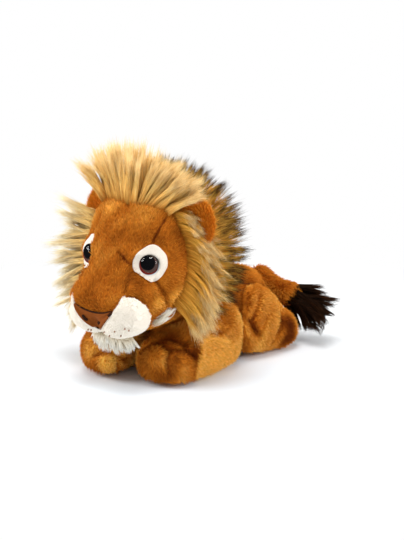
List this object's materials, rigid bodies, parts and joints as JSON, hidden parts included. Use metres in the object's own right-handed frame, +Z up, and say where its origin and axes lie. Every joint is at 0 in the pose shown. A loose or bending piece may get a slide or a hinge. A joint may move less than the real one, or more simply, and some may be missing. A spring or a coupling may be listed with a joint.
{
  "type": "plush lion",
  "caption": "Stuffed lion lying on its belly with its chin over its front paws, a long-haired mane, plastic safety eyes and a tufted tail; head, legs and tail turn at their seams",
  "frame": {"origin": "on the floor under the belly, in the lion's middle plane", "axes": "+Z up, -Y towards the nose, +X towards the lion's own left side"},
  "size_m": [0.2034, 0.3105, 0.2399],
  "materials": {
    "golden_plush": "short golden-brown plush pile",
    "face_plush": "short rust-brown plush pile",
    "white_plush": "short white plush pile, longer on the chin",
    "mane_fur": "long golden fur with pale tips",
    "dark_mane_fur": "long golden fur with dark brown tips",
    "tuft_fur": "long dark brown fur",
    "ear_plush": "short rust-orange plush pile",
    "eye_felt": "cream felt with a waved edge",
    "nose_felt": "brown felt with dark embroidery",
    "eye_clear": "clear polished plastic",
    "eye_paint": "black pupil and brown iris painted behind the dome",
    "washer_plastic": "pale moulded plastic",
    "stuffing": "white polyester fibre"
  },
  "bodies": {
    "torso": {"torso_skin": "golden_plush", "torso_stuffing": "stuffing"},
    "neck": {"neck_stuffing": "stuffing"},
    "head": {"head_skin": "face_plush", "head_stuffing": "stuffing", "muzzle_pad_left": "white_plush", "muzzle_pad_right": "white_plush", "nose_patch": "nose_felt", "chin_beard": "white_plush", "eye_dome_left": "eye_clear", "eye_back_left": "eye_paint", "eye_washer_left": "washer_plastic", "eye_patch_left": "eye_felt", "eye_dome_right": "eye_clear", "eye_back_right": "eye_paint", "eye_washer_right": "washer_plastic", "eye_patch_right": "eye_felt", "ear_back_left": "golden_plush", "ear_lining_left": "ear_plush", "ear_back_right": "golden_plush", "ear_lining_right": "ear_plush", "mane_crown": "mane_fur", "mane_cheek_left": "mane_fur", "mane_cheek_right": "mane_fur", "mane_ruff": "dark_mane_fur"},
    "foreleg_left": {"foreleg_left_skin": "golden_plush", "foreleg_left_stuffing": "stuffing"},
    "foreleg_right": {"foreleg_right_skin": "golden_plush", "foreleg_right_stuffing": "stuffing"},
    "hindleg_left": {"hindleg_left_skin": "golden_plush", "hindleg_left_stuffing": "stuffing"},
    "hindleg_right": {"hindleg_right_skin": "golden_plush", "hindleg_right_stuffing": "stuffing"},
    "tail": {"tail_skin": "golden_plush", "tail_stuffing": "stuffing", "tail_tuft": "tuft_fur"}
  },
  "joints": [
    {"name": "head_turn", "type": "hinge", "parent": "torso", "child": "neck", "pos_m": [0, -0.043, 0.086], "axis": [0, 0, 1], "range_deg": [-12, 12], "stiffness_Nm_per_rad": 0.15},
    {"name": "head_nod", "type": "hinge", "parent": "neck", "child": "head", "pos_m": [0, -0.043, 0.086], "axis": [-1, 0, 0], "range_deg": [0, 10], "stiffness_Nm_per_rad": 0.3},
    {"name": "foreleg_left_spread", "type": "hinge", "parent": "torso", "child": "foreleg_left", "pos_m": [0.043, -0.013, 0.04125], "axis": [0, 0, 1], "range_deg": [0, 15], "stiffness_Nm_per_rad": 0.05},
    {"name": "foreleg_right_spread", "type": "hinge", "parent": "torso", "child": "foreleg_right", "pos_m": [-0.043, -0.013, 0.04125], "axis": [0, 0, -1], "range_deg": [0, 15], "stiffness_Nm_per_rad": 0.05},
    {"name": "hindleg_left_spread", "type": "hinge", "parent": "torso", "child": "hindleg_left", "pos_m": [0.043, 0.019, 0.0425], "axis": [0, 0, -1], "range_deg": [0, 15], "stiffness_Nm_per_rad": 0.05},
    {"name": "hindleg_right_spread", "type": "hinge", "parent": "torso", "child": "hindleg_right", "pos_m": [-0.043, 0.019, 0.0425], "axis": [0, 0, 1], "range_deg": [0, 15], "stiffness_Nm_per_rad": 0.05},
    {"name": "tail_swing", "type": "hinge", "parent": "torso", "child": "tail", "pos_m": [0, 0.09834, 0.066], "axis": [0, 0, 1], "range_deg": [0, 90], "stiffness_Nm_per_rad": 0.004}
  ]
}
